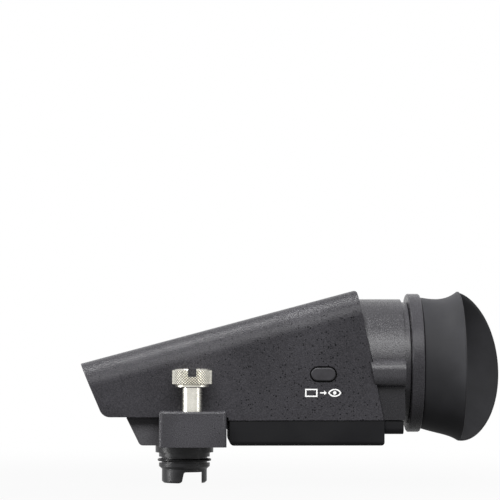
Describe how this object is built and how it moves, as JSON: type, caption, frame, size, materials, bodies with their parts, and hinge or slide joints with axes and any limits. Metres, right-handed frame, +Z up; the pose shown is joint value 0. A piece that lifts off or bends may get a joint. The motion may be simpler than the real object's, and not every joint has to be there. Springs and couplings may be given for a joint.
{
  "type": "electronic viewfinder",
  "caption": "Tilting electronic viewfinder on a foot with a round contact plug and a captive knurled thumb screw, with a winged rubber eyecup.",
  "frame": {"origin": "on the axis of the contact plug, at the mounting face of the foot", "axes": "+X towards the eyepiece, along the viewfinder; +Z up, away from the camera; -Y the side with the thumb screw and the button"},
  "size_m": [0.1422, 0.064, 0.0639],
  "materials": {
    "moulded_body": "dark grey moulded casing with a fine speckled paint",
    "cover_black": "smooth black moulding",
    "foot_grey": "the casing's dark grey speckled finish, a shade lighter",
    "plug_black": "black moulded plug with a soft gloss and a fine grain on its skirt",
    "nickel": "warm nickel plate",
    "steel": "plain steel",
    "brass": "friction washer",
    "seal_rubber": "sealing ring",
    "eyecup_rubber": "soft matt rubber",
    "optical_glass": "coated optical glass",
    "board_green": "circuit board",
    "chip_black": "chip package"
  },
  "bodies": {
    "base": {"hinge_base": "foot_grey", "clamp_block": "foot_grey", "plug_shell": "plug_black", "plug_insert": "cover_black", "plug_o_ring": "seal_rubber", "hinge_pin": "steel", "hinge_washer_near": "brass", "hinge_washer_far": "brass", "block_screw_1": "steel", "block_screw_2": "steel"},
    "screw_carrier": {"captive_washer": "steel"},
    "thumb_screw": {"thumb_screw": "nickel"},
    "head": {"main_housing": "moulded_body", "front_floor": "cover_black", "lower_cover": "cover_black", "eyepiece_housing": "moulded_body", "eyepiece_bottom_cover": "cover_black", "tact_switch": "steel", "switch_board": "board_green", "cover_screw_1": "steel", "cover_screw_2": "steel", "cover_screw_3": "steel", "cover_screw_4": "steel", "main_board": "board_green", "processor": "chip_black", "interface_board": "board_green", "display_frame": "cover_black", "display_panel": "optical_glass", "field_lens": "optical_glass", "protective_window": "optical_glass", "eye_sensor": "optical_glass", "lens_barrel": "cover_black"},
    "button": {"vf_button": "moulded_body"},
    "eyecup_turret": {"eyecup_ring": "moulded_body", "eyecup": "eyecup_rubber"},
    "dioptre": {"dioptre_dial": "moulded_body"},
    "carriage": {"lens_carriage": "cover_black", "eyepiece_lens_1": "optical_glass", "eyepiece_lens_2": "optical_glass"}
  },
  "joints": [
    {"name": "vf_tilt", "type": "hinge", "parent": "base", "child": "head", "pos_m": [-0.02335, 0, 0.01455], "axis": [0, -1, 0], "range_deg": [0, 90]},
    {"name": "screw_travel", "type": "slide", "parent": "base", "child": "screw_carrier", "axis": [0, 0, -1], "range_m": [0, 0.0076]},
    {"name": "screw_turn", "type": "hinge", "parent": "screw_carrier", "child": "thumb_screw", "pos_m": [0.00245, -0.03, 0], "axis": [0, 0, -1], "range_deg": [0, 2154.4]},
    {"name": "button_press", "type": "slide", "parent": "head", "child": "button", "axis": [0, 1, 0], "range_m": [0, 0.0006], "stiffness_N_per_m": 800, "springref_m": -0.0003},
    {"name": "eyecup_turn", "type": "hinge", "parent": "head", "child": "eyecup_turret", "pos_m": [0.076, 0, 0.0267], "axis": [1, 0, 0], "range_deg": [0, 180]},
    {"name": "dioptre_turn", "type": "hinge", "parent": "head", "child": "dioptre", "pos_m": [0.0684, 0.0203, 0.013], "axis": [0, 1, 0], "range_deg": [-57, 57]},
    {"name": "lens_focus", "type": "slide", "parent": "head", "child": "carriage", "axis": [1, 0, 0], "range_m": [-0.0016, 0.0016]}
  ],
  "couplings": [
    {"joint": "screw_turn", "follows": "screw_travel", "rad_per_m": 4947.4},
    {"joint": "dioptre_turn", "follows": "lens_focus", "rad_per_m": 621.7}
  ]
}
